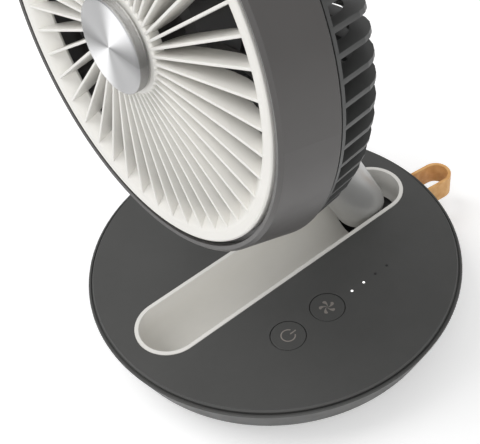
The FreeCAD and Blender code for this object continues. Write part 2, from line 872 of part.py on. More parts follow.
def one_rib(end_radius):
    """Bent rib from the front ring round the corner and inwards to the given radius."""
    outer = guard_outline(0)
    inner = guard_outline(guard_rib_depth)
    far = [(end_radius, -head_depth)]
    near = [(end_radius, -head_depth + guard_rib_depth)]
    points = outer + far + near + inner[::-1]
    corners = [V(r, 0, z) for r, z in points]
    plate = Part.Face(Part.makePolygon(corners + [corners[0]])).extrude(V(0, guard_rib_thickness, 0))
    plate.translate(V(0, -guard_rib_thickness / 2, 0))
    turn = math.degrees(math.asin(guard_swirl / band_rear_radius))
    plate.rotate(V(band_rear_radius, 0, 0), V(0, 0, 1), -turn)
    return plate


def guard_envelope():
    outer = guard_outline(0)
    return turned([(0, outer[0][1])] + outer + [(0, -head_depth)])


def spine_space(gap):
    half = spine_width / 2 + gap
    return block(-half, half, -spine_bottom - gap, spine_top + gap, -head_depth - 1,
                 -head_depth + spine_thickness)


def make_guard():
    front = -band_depth - guard_seam
    r = band_rear_radius - 0.6
    ring = turned([
        (r, front), (r - 0.3, front - guard_ring_depth), (r - guard_rib_depth, front - guard_ring_depth),
        (r - guard_rib_depth, front)])
    rear = -head_depth
    plate = cylinder(guard_plate_radius, guard_rib_depth, V(0, 0, rear))
    mid = tube(guard_mid_ring_radius + guard_mid_ring_width / 2,
               guard_mid_ring_radius - guard_mid_ring_width / 2, guard_rib_depth - 1.5, V(0, 0, rear + 1.5))
    half = spine_width / 2 + 2.5
    land = block(-half, half, -spine_bottom - 2.5, 0, rear, rear + guard_rib_depth)
    land = land.common(guard_envelope())
    half_count = guard_rib_count // 2
    long_ribs = around(one_rib(guard_plate_radius - 4), half_count)
    short_rib = turn_z(one_rib(guard_mid_ring_radius), 180.0 / half_count)
    body = ring.multiFuse([plate, mid, land] + long_ribs + around(short_rib, half_count))
    body = body.common(guard_envelope())
    body = body.cut(spine_space(fine_gap))
    body = body.cut(cylinder(shaft_radius + 6.0, 20, V(0, 0, rear)))
    for x, y in spine_screw_places():
        body = body.cut(cylinder(screw_radius, 20, V(x, y, rear)))
    body = body.multiFuse(guard_lugs())
    for angle in lug_angles:
        hole = cylinder(small_screw_radius, lug_height, V(lug_circle(), 0, front - lug_height))
        room = cylinder(2.4 + fine_gap, 4.0, V(lug_circle(), 0, front - lug_height - 4.0))
        body = body.cut(turn_z(hole.fuse(room), angle))
    for angle in motor_screw_angles:
        seat = rear + guard_rib_depth - motor_screw_bite
        hole = cylinder(small_screw_radius, motor_screw_bite, V(motor_screw_circle, 0, seat))
        body = body.cut(turn_z(hole, angle))
    return in_head(body.removeSplitter())


def guard_lugs():
    """Short screw lugs inside the guard's front ring that meet the band's posts."""
    front = -band_depth - guard_seam
    one = cylinder(lug_radius, lug_height, V(lug_circle(), 0, front - lug_height))
    return [turn_z(one, angle) for angle in lug_angles]


def band_posts():
    """Screw posts that run from the guard's lugs to the ledge under the grille."""
    front = -band_depth - guard_seam
    high = -face_gap_depth - face_ledge_thickness
    r = lug_circle()
    post = cylinder(lug_radius, high - front, V(r, 0, front))
    web = block(r, r + lug_radius, -1.6, 1.6, front, high)
    return [turn_z(post.fuse(web), angle) for angle in lug_angles]


def guard_screw_set():
    seat = -band_depth - guard_seam - lug_height
    one = screw(V(lug_circle(), 0, seat), V(0, 0, 1), lug_height + 7.5, small_screw_radius, 2.4)
    return in_head(group([turn_z(one, angle) for angle in lug_angles]))


def spine_screw_places():
    return [(8.0, 12.0), (-8.0, 12.0), (8.0, -24.0), (-8.0, -24.0), (8.0, -44.0), (-8.0, -44.0)]


def make_spine():
    rear = -head_depth
    half = spine_width / 2
    plate = block(-half, half, -spine_bottom, spine_top, rear, rear + spine_thickness)
    edges = [e for e in plate.Edges
             if abs(e.BoundBox.ZLength - spine_thickness) < 0.01 and e.BoundBox.XLength < 0.01]
    plate = plate.makeFillet(8.0, edges)
    reach = tongue_radius
    px = -pivot_below_axis
    pz = -pivot_depth
    neck = side_profile([
        (px - reach - 2.5, rear + 1), (px - reach, pz), (px + reach, pz), (px + reach + 2.5, rear + 1)],
        -tongue_thickness / 2, tongue_thickness / 2)
    tip = cylinder(reach, tongue_thickness, V(-tongue_thickness / 2, px, pz), V(1, 0, 0))
    body = plate.fuse(neck).fuse(tip)
    body = body.cut(cylinder(
        tilt_pin_radius + running_clearance, tongue_thickness + 2,
        V(-tongue_thickness / 2 - 1, px, pz), V(1, 0, 0)))
    for x, y in spine_screw_places():
        body = body.cut(cylinder(screw_radius, spine_thickness, V(x, y, rear)))
        body = body.cut(cylinder(screw_head_radius + fine_gap, screw_head_height + 0.3, V(x, y, rear)))
    return in_head(body.removeSplitter())


def spine_screw_set():
    seat = -head_depth + screw_head_height + 0.3
    one = [screw(V(x, y, seat), V(0, 0, 1), 4.0) for x, y in spine_screw_places()]
    return in_head(group(one))


# Motor pieces. Depths are measured from the face plane along the head's axis.
motor_plate_front = -head_depth + guard_rib_depth + motor_plate_thickness
can_front = -impeller_front - impeller_wall - 2.0
can_length = 17.0
can_back = can_front - can_length
tube_radius = bearing_radius + 1.6


def make_motor_mount():
    rear = -head_depth + guard_rib_depth
    plate = cylinder(26.0, motor_plate_thickness, V(0, 0, rear))
    tower = cylinder(tube_radius, can_front - 3.0 - motor_plate_front, V(0, 0, motor_plate_front))
    body = plate.fuse(tower)
    body = body.cut(cylinder(shaft_radius + 0.6, 60, V(0, 0, rear - 1)))
    body = body.cut(cylinder(bearing_radius, bearing_width, V(0, 0, can_front - 3.0 - bearing_width)))
    body = body.cut(cylinder(bearing_radius, bearing_width, V(0, 0, rear)))
    for angle in motor_screw_angles:
        hole = cylinder(small_screw_radius, motor_plate_thickness, V(motor_screw_circle, 0, rear))
        body = body.cut(turn_z(hole, angle))
    return in_head(body.removeSplitter())


def motor_screw_set():
    seat = V(motor_screw_circle, 0, motor_plate_front)
    one = screw(seat, V(0, 0, -1), motor_plate_thickness + motor_screw_bite, small_screw_radius, 2.2)
    return in_head(group([turn_z(one, angle) for angle in motor_screw_angles]))


def bearing_set():
    rear = -head_depth + guard_rib_depth
    rings = [tube(bearing_radius, shaft_radius + running_clearance, bearing_width, V(0, 0, z))
             for z in (can_front - 3.0 - bearing_width, rear)]
    return in_head(group(rings))


def make_stator():
    outer = can_radius - can_wall - magnet_thickness - magnet_gap
    low = can_back + 3.0
    height = 8.0
    core = tube(9.0, tube_radius, height, V(0, 0, low))
    tooth = block(8.0, outer - 1.6, -1.8, 1.8, low, low + height)
    shoe = tube(outer, outer - 2.0, height, V(0, 0, low))
    wedge = block(0, outer + 1, -5.2, 5.2, low, low + height)
    shoes = around(shoe.common(wedge), stator_poles)
    return in_head(core.multiFuse(around(tooth, stator_poles) + shoes).removeSplitter())


def winding_set():
    low = can_back + 2.2
    coil = block(10.5, 17.0, -3.0, 3.0, low, low + 9.6)
    coil = coil.cut(block(10.0, 18.0, -1.8, 1.8, low + 0.8, low + 8.8))
    return in_head(group(around(coil, stator_poles)))


def make_motor_board():
    plate = tube(motor_screw_circle - 3.0, tube_radius, board_thickness, V(0, 0, motor_plate_front))
    return in_head(plate)


def make_can():
    body = turned([
        (shaft_radius, can_front), (can_radius, can_front), (can_radius, can_back),
        (can_radius - can_wall, can_back), (can_radius - can_wall, can_front - can_wall),
        (shaft_radius, can_front - can_wall)])
    return in_head(body)


def make_magnet():
    outer = can_radius - can_wall
    return in_head(tube(outer, outer - magnet_thickness, 12.0, V(0, 0, can_back + 0.8)))


def make_shaft():
    rear = -head_depth + guard_rib_depth
    z0 = rear - 1.6
    return in_head(cylinder(shaft_radius, -impeller_front - 1.0 - z0, V(0, 0, z0)))


def make_shaft_clip():
    rear = -head_depth + guard_rib_depth
    clip = tube(3.2, shaft_radius, 0.7, V(0, 0, rear - 0.8))
    return in_head(clip.cut(block(0, 5, -0.9, 0.9, rear - 1, rear)))


def blade_section(radius, chord, angle, middle):
    """Closed thin arc strip in the plane at a distance along X, pitched about X."""
    half = chord / 2
    sag = chord * 0.09
    t = blade_thickness / 2
    a, b = V(radius, -half, 0), V(radius, half, 0)
    upper = Part.Arc(a + V(0, 0, t), V(radius, 0, sag + t), b + V(0, 0, t)).toShape()
    lower = Part.Arc(b - V(0, 0, t), V(radius, 0, sag - t), a - V(0, 0, t)).toShape()
    ends = [Part.makeLine(b + V(0, 0, t), b - V(0, 0, t)), Part.makeLine(a - V(0, 0, t), a + V(0, 0, t))]
    wire = Part.Wire([upper, ends[0], lower, ends[1]])
    wire.rotate(V(0, 0, 0), V(1, 0, 0), angle)
    wire.translate(V(0, 0, middle))
    return wire


def make_impeller():
    front = -impeller_front
    back = front - impeller_depth
    middle = (front + back) / 2
    hub = turned([
        (shaft_radius, front), (impeller_hub_radius - 3, front), (impeller_hub_radius, front - 3),
        (impeller_hub_radius, back), (can_radius, back), (can_radius, can_front), (shaft_radius, can_front)])
    root = blade_section(impeller_hub_radius - 1.2, blade_chord_root, blade_angle_root, middle)
    tip = blade_section(impeller_tip_radius + 1.0, blade_chord_tip, blade_angle_tip, middle)
    blade = Part.makeLoft([root, tip], True, True)
    limit = tube(impeller_tip_radius, impeller_hub_radius - 1.0, impeller_depth, V(0, 0, back))
    blade = blade.common(limit)
    return in_head(hub.multiFuse(around(blade, impeller_blades)).removeSplitter())


save("base_shell", make_shell())
save("base_cover", make_cover())
save("trough_liner", make_liner())
save("non_slip_pad", make_pad())
save("hinge_bracket", make_hinge_bracket())
save("bracket_screws", bracket_screw_set())
save("fold_pin", make_fold_pin())
save("fold_pin_nut", make_fold_nut())
save("fold_washers", fold_washer_set())
save("base_screws", base_screw_set())
save("battery_cells", make_cells())
save("battery_holder", make_cell_holder())
save("control_board", make_board())
save("board_screws", board_screw_set())
save("tact_switches", switch_set())
save("lamps_lit", lamp_set((0, 1)))
save("lamps_dark", lamp_set((2, 3)))
save("charging_socket", make_socket())
save("socket_board", make_socket_board())
save("strap", turn_z(make_strap_straight(), strap_angle))
save("strap_anchor", make_strap_anchor())
save("strap_pin", turn_z(strap_pin_place(), strap_angle))
save("power_button", make_button(power_button_y))
save("speed_button", make_button(speed_button_y))
save("arm_beam", make_arm_beam())
save("arm_cover", make_arm_cover())
save("arm_screws", arm_screw_set())
save("arm_wires", arm_wire_set())
save("tilt_pin", make_tilt_pin())
save("tilt_pin_nut", make_tilt_nut())
save("tilt_washers", tilt_washer_set())
save("head_band", make_band())
save("front_grille", make_front_grille())
save("hub_cap", make_hub_cap())
save("rear_guard", make_guard())
save("guard_screws", guard_screw_set())
save("head_spine", make_spine())
save("spine_screws", spine_screw_set())
save("motor_mount", make_motor_mount())
save("motor_screws", motor_screw_set())
save("motor_bearings", bearing_set())
save("motor_stator", make_stator())
save("motor_windings", winding_set())
save("motor_board", make_motor_board())
save("motor_can", make_can())
save("motor_magnet", make_magnet())
save("motor_shaft", make_shaft())
save("shaft_clip", make_shaft_clip())
save("impeller", make_impeller())
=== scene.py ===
import json
import math

import bmesh
import bpy
from mathutils import Matrix, Vector


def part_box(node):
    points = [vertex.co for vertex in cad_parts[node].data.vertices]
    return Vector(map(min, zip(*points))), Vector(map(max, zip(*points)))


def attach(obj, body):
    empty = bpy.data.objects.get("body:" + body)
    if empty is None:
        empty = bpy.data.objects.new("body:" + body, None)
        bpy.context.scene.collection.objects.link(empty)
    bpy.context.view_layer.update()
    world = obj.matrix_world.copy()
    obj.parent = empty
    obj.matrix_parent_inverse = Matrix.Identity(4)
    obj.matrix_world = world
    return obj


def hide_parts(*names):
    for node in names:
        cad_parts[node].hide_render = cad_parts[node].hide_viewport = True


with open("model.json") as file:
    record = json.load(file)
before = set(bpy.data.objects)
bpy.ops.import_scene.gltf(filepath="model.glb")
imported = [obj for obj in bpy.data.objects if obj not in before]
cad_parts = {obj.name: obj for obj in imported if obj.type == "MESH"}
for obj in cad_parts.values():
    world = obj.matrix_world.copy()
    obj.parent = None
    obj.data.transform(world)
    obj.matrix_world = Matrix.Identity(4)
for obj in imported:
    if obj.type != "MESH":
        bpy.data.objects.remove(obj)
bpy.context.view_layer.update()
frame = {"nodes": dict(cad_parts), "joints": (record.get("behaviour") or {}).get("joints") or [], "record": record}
nodes = frame["nodes"]
joints = {j["name"]: j for j in frame["joints"]}
head_centre = Vector(joints["fan_spin"]["pos_m"])
head_forward = Vector(joints["fan_spin"]["axis"]).normalized()
head_up = head_forward.cross(Vector((1, 0, 0)))
head_frame = Matrix((Vector((1, 0, 0)), head_up, head_forward)).transposed().to_4x4()
head_frame.translation = head_centre
mm = 0.001
moulded_edge_radius = 0.35 * mm


def new_object(name, mesh, body, material, sharp=40.0):
    """A finished piece at the origin that rides on a body."""
    mesh.shade_smooth()
    mesh.set_sharp_from_angle(angle=math.radians(sharp))
    obj = bpy.data.objects.new(name, mesh)
    bpy.context.scene.collection.objects.link(obj)
    mesh.materials.append(material)
    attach(obj, body)
    return obj


def mesh_from(name, verts, faces, place=None):
    mesh = bpy.data.meshes.new(name)
    mesh.from_pydata([tuple(v) for v in verts], [], faces)
    if place is not None:
        mesh.transform(place)
    tool = bmesh.new()
    tool.from_mesh(mesh)
    bmesh.ops.remove_doubles(tool, verts=tool.verts, dist=1e-6)
    bmesh.ops.recalc_face_normals(tool, faces=tool.faces)
    tool.to_mesh(mesh)
    tool.free()
    return mesh


def lathe(name, profile, place=None, steps=192, closed=True):
    """Mesh turned about Z from (radius, height) points in millimetres."""
    verts, faces = [], []
    count = len(profile)
    for i in range(steps):
        a = 2 * math.pi * i / steps
        for r, z in profile:
            verts.append((r * math.cos(a) * mm, r * math.sin(a) * mm, z * mm))
    last = count if closed else count - 1
    for i in range(steps):
        j = (i + 1) % steps
        for k in range(last):
            n = (k + 1) % count
            faces.append((i * count + k, j * count + k, j * count + n, i * count + n))
    return mesh_from(name, verts, faces, place)


def rounded(points, radii, steps=5):
    """Corners of a closed outline replaced by small arcs."""
    out = []
    count = len(points)
    for i, (p, radius) in enumerate(zip(points, radii)):
        p = Vector(p)
        if not radius:
            out.append(tuple(p))
            continue
        a = Vector(points[i - 1]) - p
        b = Vector(points[(i + 1) % count]) - p
        half = a.angle(b) / 2
        reach = min(radius / math.tan(half), a.length * 0.48, b.length * 0.48)
        start = p + a.normalized() * reach
        end = p + b.normalized() * reach
        for k in range(steps + 1):
            t = k / steps
            out.append(tuple(start * (1 - t) ** 2 + p * 2 * t * (1 - t) + end * t ** 2))
    return out


def smooth_path(points, steps=6):
    """Catmull-Rom curve through the points."""
    out = []
    before = 2 * Vector(points[0]) - Vector(points[1])
    after = 2 * Vector(points[-1]) - Vector(points[-2])
    run = [before] + [Vector(p) for p in points] + [after]
    for i in range(1, len(run) - 2):
        a, b, c, d = run[i - 1:i + 3]
        for k in range(steps):
            t = k / steps
            second = 2 * a - 5 * b + 4 * c - d
            third = 3 * b - a - 3 * c + d
            out.append(tuple(0.5 * (2 * b + (c - a) * t + second * t * t + third * t ** 3)))
    return out + [tuple(points[-1])]


def plate(name, outline, thickness, bevel, upright=True):
    """Flat piece from an outline in millimetres, its long edges rounded. Upright: in the XZ plane."""
    tool = bmesh.new()
    if upright:
        corners = [(x * mm, -thickness / 2 * mm, z * mm) for x, z in outline]
        push = Vector((0, thickness * mm, 0))
    else:
        corners = [(x * mm, y * mm, 0) for x, y in outline]
        push = Vector((0, 0, thickness * mm))
    face = tool.faces.new([tool.verts.new(corner) for corner in corners])
    made = bmesh.ops.extrude_face_region(tool, geom=[face])
    moved = [v for v in made["geom"] if isinstance(v, bmesh.types.BMVert)]
    bmesh.ops.translate(tool, verts=moved, vec=push)
    axis = 1 if upright else 2
    rims = [e for e in tool.edges if abs(e.verts[0].co[axis] - e.verts[1].co[axis]) < 1e-7]
    bmesh.ops.recalc_face_normals(tool, faces=tool.faces)
    if bevel:
        bmesh.ops.bevel(tool, geom=rims, offset=bevel * mm, segments=2, profile=0.6, affect="EDGES")
    mesh = bpy.data.meshes.new(name)
    tool.to_mesh(mesh)
    tool.free()
    return mesh


def repeated(name, mesh, count, first, material):
    """The mesh repeated evenly about Z by a node tree, as one plain mesh."""
    tree = bpy.data.node_groups.new(name + "_round", "GeometryNodeTree")
    tree.interface.new_socket("Piece", in_out="INPUT", socket_type="NodeSocketGeometry")
    number = tree.interface.new_socket("Count", in_out="INPUT", socket_type="NodeSocketInt")
    start = tree.interface.new_socket("First angle", in_out="INPUT", socket_type="NodeSocketFloat")
    tree.interface.new_socket("Result", in_out="OUTPUT", socket_type="NodeSocketGeometry")
    source = tree.nodes.new("NodeGroupInput")
    points = tree.nodes.new("GeometryNodePoints")
    index = tree.nodes.new("GeometryNodeInputIndex")
    share = add(tree, "ShaderNodeMath", set_operation="DIVIDE")
    angle = add(tree, "ShaderNodeMath", set_operation="MULTIPLY_ADD")
    angle.inputs[1].default_value = 2 * math.pi
    turn = tree.nodes.new("ShaderNodeCombineXYZ")
    copies = tree.nodes.new("GeometryNodeInstanceOnPoints")
    real = tree.nodes.new("GeometryNodeRealizeInstances")
    paint = tree.nodes.new("GeometryNodeSetMaterial")
    paint.inputs["Material"].default_value = material
    result = tree.nodes.new("NodeGroupOutput")
    link = tree.links.new
    link(source.outputs["Count"], points.inputs["Count"])
    link(index.outputs[0], share.inputs[0])
    link(source.outputs["Count"], share.inputs[1])
    link(share.outputs[0], angle.inputs[0])
    link(source.outputs["First angle"], angle.inputs[2])
    link(angle.outputs[0], turn.inputs["Z"])
    link(points.outputs[0], copies.inputs["Points"])
    link(source.outputs["Piece"], copies.inputs["Instance"])
    link(turn.outputs[0], copies.inputs["Rotation"])
    link(copies.outputs[0], real.inputs[0])
    link(real.outputs[0], paint.inputs["Geometry"])
    link(paint.outputs[0], result.inputs["Result"])
    carrier = bpy.data.objects.new(name, mesh)
    bpy.context.scene.collection.objects.link(carrier)
    modifier = carrier.modifiers.new("round", "NODES")
    modifier.node_group = tree
    modifier[number.identifier] = count
    modifier[start.identifier] = math.radians(first)
    graph = bpy.context.evaluated_depsgraph_get()
    made = bpy.data.meshes.new_from_object(carrier.evaluated_get(graph))
    bpy.data.objects.remove(carrier)
    return made


def joined(name, meshes, place):
    """Several meshes as one, put in place."""
    tool = bmesh.new()
    for mesh in meshes:
        tool.from_mesh(mesh)
    mesh = bpy.data.meshes.new(name)
    tool.to_mesh(mesh)
    tool.free()
    mesh.transform(place)
    return mesh


def shader(name):
    material = bpy.data.materials.new(name)
    material.use_nodes = True
    tree = material.node_tree
    return material, tree, tree.nodes["Principled BSDF"]


def add(tree, kind, **inputs):
    node = tree.nodes.new(kind)
    for key, value in inputs.items():
        if key.startswith("set_"):
            setattr(node, key[4:], value)
        else:
            node.inputs[key.replace("_", " ")].default_value = value
    return node


def object_noise(tree, scale, detail=3.0, rough=0.5):
    coords = tree.nodes.get("Texture Coordinate") or tree.nodes.new("ShaderNodeTexCoord")
    noise = add(tree, "ShaderNodeTexNoise", Scale=scale, Detail=detail, Roughness=rough)
    tree.links.new(coords.outputs["Object"], noise.inputs["Vector"])
    return noise.outputs["Fac"]


def spread(tree, source, low, high, a=0.3, b=0.7):
    node = add(tree, "ShaderNodeMapRange")
    node.inputs["From Min"].default_value = a
    node.inputs["From Max"].default_value = b
    node.inputs["To Min"].default_value = low
    node.inputs["To Max"].default_value = high
    tree.links.new(source, node.inputs["Value"])
    return node.outputs["Result"]


def moulded(name, colour, rough, mottle=0.05, grain=2600.0, depth=0.012, wear=0.12):
    """Moulded plastic: fine spark-eroded grain, faint flow marks, edges rubbed lighter."""
    material, tree, bsdf = shader(name)
    dark = tuple(c * (1 - mottle) for c in colour) + (1,)
    light = tuple(min(c * (1 + mottle), 1) for c in colour) + (1,)
    tint = add(tree, "ShaderNodeMix", set_data_type="RGBA")
    tint.inputs[6].default_value = dark
    tint.inputs[7].default_value = light
    tree.links.new(spread(tree, object_noise(tree, 38.0, 5.0), 0, 1), tint.inputs[0])
    edge = add(tree, "ShaderNodeMix", set_data_type="RGBA")
    edge.inputs[7].default_value = tuple(min(c * 1.35 + 0.02, 1) for c in colour) + (1,)
    tree.links.new(tint.outputs[2], edge.inputs[6])
    geometry = tree.nodes.new("ShaderNodeNewGeometry")
    rubbed = add(tree, "ShaderNodeMath", set_operation="MULTIPLY")
    tree.links.new(spread(tree, geometry.outputs["Pointiness"], 0, wear, 0.51, 0.6), rubbed.inputs[0])
    tree.links.new(spread(tree, object_noise(tree, 260.0), 0.3, 1.0), rubbed.inputs[1])
    tree.links.new(rubbed.outputs[0], edge.inputs[0])
    tree.links.new(edge.outputs[2], bsdf.inputs["Base Color"])
    gloss = spread(tree, object_noise(tree, 90.0, 4.0), rough - 0.04, rough + 0.05)
    tree.links.new(gloss, bsdf.inputs["Roughness"])
    bump = add(tree, "ShaderNodeBump", Strength=0.35, Distance=depth * mm)
    tree.links.new(object_noise(tree, grain, 2.0), bump.inputs["Height"])
    soften = add(tree, "ShaderNodeBevel", set_samples=4, Radius=moulded_edge_radius)
    tree.links.new(soften.outputs["Normal"], bump.inputs["Normal"])
    tree.links.new(bump.outputs["Normal"], bsdf.inputs["Normal"])
    return material


def metal(name, colour, rough, stretch=(1, 1, 1)):
    """Plated or drawn steel with fine drag lines and slight stains."""
    material, tree, bsdf = shader(name)
    coords = tree.nodes.new("ShaderNodeTexCoord")
    mapping = tree.nodes.new("ShaderNodeMapping")
    mapping.inputs["Scale"].default_value = stretch
    tree.links.new(coords.outputs["Object"], mapping.inputs["Vector"])
    lines = add(tree, "ShaderNodeTexNoise", Scale=900.0, Detail=3.0)
    tree.links.new(mapping.outputs["Vector"], lines.inputs["Vector"])
    tint = add(tree, "ShaderNodeMix", set_data_type="RGBA")
    tint.inputs[6].default_value = tuple(c * 0.85 for c in colour) + (1,)
    tint.inputs[7].default_value = tuple(colour) + (1,)
    tree.links.new(object_noise(tree, 120.0, 4.0), tint.inputs[0])
    tree.links.new(tint.outputs[2], bsdf.inputs["Base Color"])
    tree.links.new(spread(tree, lines.outputs["Fac"], rough - 0.06, rough + 0.1), bsdf.inputs["Roughness"])
    bump = add(tree, "ShaderNodeBump", Strength=0.3, Distance=0.01 * mm)
    tree.links.new(lines.outputs["Fac"], bump.inputs["Height"])
    tree.links.new(bump.outputs["Normal"], bsdf.inputs["Normal"])
    bsdf.inputs["Metallic"].default_value = 1.0
    return material


base_grey = moulded("base_grey_plastic", (0.062, 0.062, 0.06), 0.5, wear=0.08)
off_white = moulded("off_white_plastic", (0.8, 0.785, 0.745), 0.38, mottle=0.015, wear=0.05)
band_grey = moulded("band_grey_plastic", (0.078, 0.074, 0.072), 0.36, mottle=0.03, wear=0.03)
guard_grey = moulded("guard_grey_plastic", (0.05, 0.051, 0.05), 0.42)
arm_grey = moulded("arm_silver_paint", (0.5, 0.5, 0.49), 0.36, mottle=0.02, wear=0.03)
arm_grey.node_tree.nodes["Principled BSDF"].inputs["Metallic"].default_value = 0.5
impeller_grey = moulded("impeller_grey_plastic", (0.05, 0.048, 0.047), 0.45)
black_plastic = moulded("black_plastic", (0.02, 0.02, 0.02), 0.5)
rubber = moulded("foot_rubber", (0.02, 0.02, 0.02), 0.8, mottle=0.2, grain=1200.0, depth=0.05)
nylon = moulded("washer_nylon", (0.1, 0.1, 0.1), 0.5)
board_green = moulded("circuit_board", (0.02, 0.13, 0.05), 0.35, mottle=0.25, grain=700.0)
cell_wrap = moulded("cell_wrap", (0.06, 0.2, 0.45), 0.3)
wire_black = moulded("wire_jacket", (0.02, 0.02, 0.02), 0.5)
magnet_black = moulded("magnet_black", (0.03, 0.03, 0.032), 0.6)
steel = metal("plated_steel", (0.62, 0.62, 0.62), 0.3)
dark_steel = metal("coated_steel", (0.06, 0.06, 0.06), 0.4)
lamination = metal("stator_lamination", (0.3, 0.3, 0.31), 0.4, (1, 60, 1))
copper = metal("winding_copper", (0.75, 0.3, 0.12), 0.3, (1, 1, 30))

by_slot = {
    "base_grey": base_grey, "off_white": off_white, "black_rubber": rubber, "dark_steel": dark_steel,
    "steel": steel, "nylon": nylon, "cell_wrap": cell_wrap, "black_plastic": black_plastic,
    "board_green": board_green, "arm_grey": arm_grey,
    "wire_black": wire_black, "band_grey": band_grey, "guard_grey": guard_grey, "lamination": lamination,
    "copper_wire": copper, "magnet_black": magnet_black, "impeller_grey": impeller_grey,
}


def dress(node, material):
    obj = nodes[node]
    if not obj.material_slots:
        obj.data.materials.append(material)
    for place in obj.material_slots:
        place.material = material


def finish_nodes():
    """Every CAD node that stays in view gets the material of its slot."""
    for part in frame["record"]["subparts"]:
        if part["material_slot"] in by_slot:
            dress(part["node"], by_slot[part["material_slot"]])


finish_nodes()


# Battery lamps: light pipes 0.95 mm in radius, level with the cover and evenly spaced in a row.
# Two glow white in their middle, two are off and show as small dark dots.
lamp_row_y = 14.2 * mm
lamp_half_gap = 4.15 * mm
lamp_glow_core = 0.5 * mm
lamp_glow_edge = 0.8 * mm


def lamp(name, colour, glow):
    material, tree, bsdf = shader(name)
    coords = tree.nodes.new("ShaderNodeTexCoord")
    split = tree.nodes.new("ShaderNodeSeparateXYZ")
    tree.links.new(coords.outputs["Object"], split.inputs[0])
    low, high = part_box("lamps_lit")
    across = add(tree, "ShaderNodeMath", set_operation="SUBTRACT")
    across.inputs[1].default_value = (low.x + high.x) / 2
    tree.links.new(split.outputs["X"], across.inputs[0])
    row = add(tree, "ShaderNodeMath", set_operation="SUBTRACT")
    row.inputs[1].default_value = lamp_row_y
    tree.links.new(split.outputs["Y"], row.inputs[0])
    along = add(tree, "ShaderNodeMath", set_operation="WRAP")
    along.inputs[1].default_value = lamp_half_gap
    along.inputs[2].default_value = -lamp_half_gap
    tree.links.new(row.outputs[0], along.inputs[0])
    spot = tree.nodes.new("ShaderNodeCombineXYZ")
    tree.links.new(across.outputs[0], spot.inputs["X"])
    tree.links.new(along.outputs[0], spot.inputs["Y"])
    reach = add(tree, "ShaderNodeVectorMath", set_operation="LENGTH")
    tree.links.new(spot.outputs[0], reach.inputs[0])
    middle = spread(tree, reach.outputs["Value"], 1.0, 0.0, lamp_glow_core, lamp_glow_edge)
    tint = add(tree, "ShaderNodeMix", set_data_type="RGBA")
    tint.inputs[6].default_value = (0.05, 0.05, 0.049, 1)
    tint.inputs[7].default_value = colour
    tree.links.new(middle, tint.inputs[0])
    tree.links.new(tint.outputs[2], bsdf.inputs["Base Color"])
    tree.links.new(spread(tree, object_noise(tree, 900.0), 0.3, 0.5), bsdf.inputs["Roughness"])
    if glow:
        bsdf.inputs["Emission Color"].default_value = (1, 1, 0.97, 1)
        power = add(tree, "ShaderNodeMath", set_operation="MULTIPLY")
        power.inputs[1].default_value = glow
        tree.links.new(middle, power.inputs[0])
        tree.links.new(power.outputs[0], bsdf.inputs["Emission Strength"])
    return material


dress("lamps_lit", lamp("lamp_lit", (0.9, 0.9, 0.88, 1), 1.2))
dress("lamps_dark", lamp("lamp_off", (0.004, 0.004, 0.004, 1), 0))


# Strap: a folded band of smooth tan leather that leaves the base as a loop. Its grain is
# fine and shallow, its colour a little uneven.
def tan_leather():
    material, tree, bsdf = shader("tan_leather")
    tint = add(tree, "ShaderNodeMix", set_data_type="RGBA")
    tint.inputs[6].default_value = (0.72, 0.36, 0.11, 1)
    tint.inputs[7].default_value = (0.86, 0.5, 0.2, 1)
    tree.links.new(spread(tree, object_noise(tree, 240.0, 6.0), 0, 1), tint.inputs[0])
    tree.links.new(tint.outputs[2], bsdf.inputs["Base Color"])
    tree.links.new(spread(tree, object_noise(tree, 500.0), 0.42, 0.6), bsdf.inputs["Roughness"])
    cells = add(tree, "ShaderNodeTexVoronoi", Scale=1500.0)
    tree.links.new(tree.nodes["Texture Coordinate"].outputs["Object"], cells.inputs["Vector"])
    bump = add(tree, "ShaderNodeBump", Strength=0.5, Distance=0.06 * mm)
    tree.links.new(cells.outputs["Distance"], bump.inputs["Height"])
    tree.links.new(bump.outputs["Normal"], bsdf.inputs["Normal"])
    return material


dress("strap", tan_leather())


# Hub cap: spun aluminium disc. Its circular brush lines throw wedges of light and shade, which are painted into
# the base colour as painted reflection;
# the wedges lie opposite each other as on any turned disc, so one pattern serves both half turns.
def painted_reflection_wedges(tree, turn):
    """Painted reflection wedges: grey by the share of a turn around the disc, bright where a highlight is painted
    and dark where shade is painted.
    """
    dark, dim, weak, bright = 0.24, 0.37, 0.56, 0.94
    half_turn = [
        (0, dark), (12, dark), (30, weak), (45, bright), (72, bright), (88, weak), (104, dim), (150, weak)]
    tones = half_turn + [(at + 180, tone) for at, tone in half_turn] + [(360, dark)]
    ramp = tree.nodes.new("ShaderNodeValToRGB")
    ramp.color_ramp.interpolation = "B_SPLINE"
    stops = ramp.color_ramp.elements
    for i, (at, tone) in enumerate(tones):
        stop = stops[i] if i < 2 else stops.new(at / 360)
        stop.position = at / 360
        stop.color = (tone, tone, tone * 1.01, 1)
    share = add(tree, "ShaderNodeMath", set_operation="FRACT")
    tree.links.new(turn, share.inputs[0])
    tree.links.new(share.outputs[0], ramp.inputs["Fac"])
    return ramp.outputs["Color"]


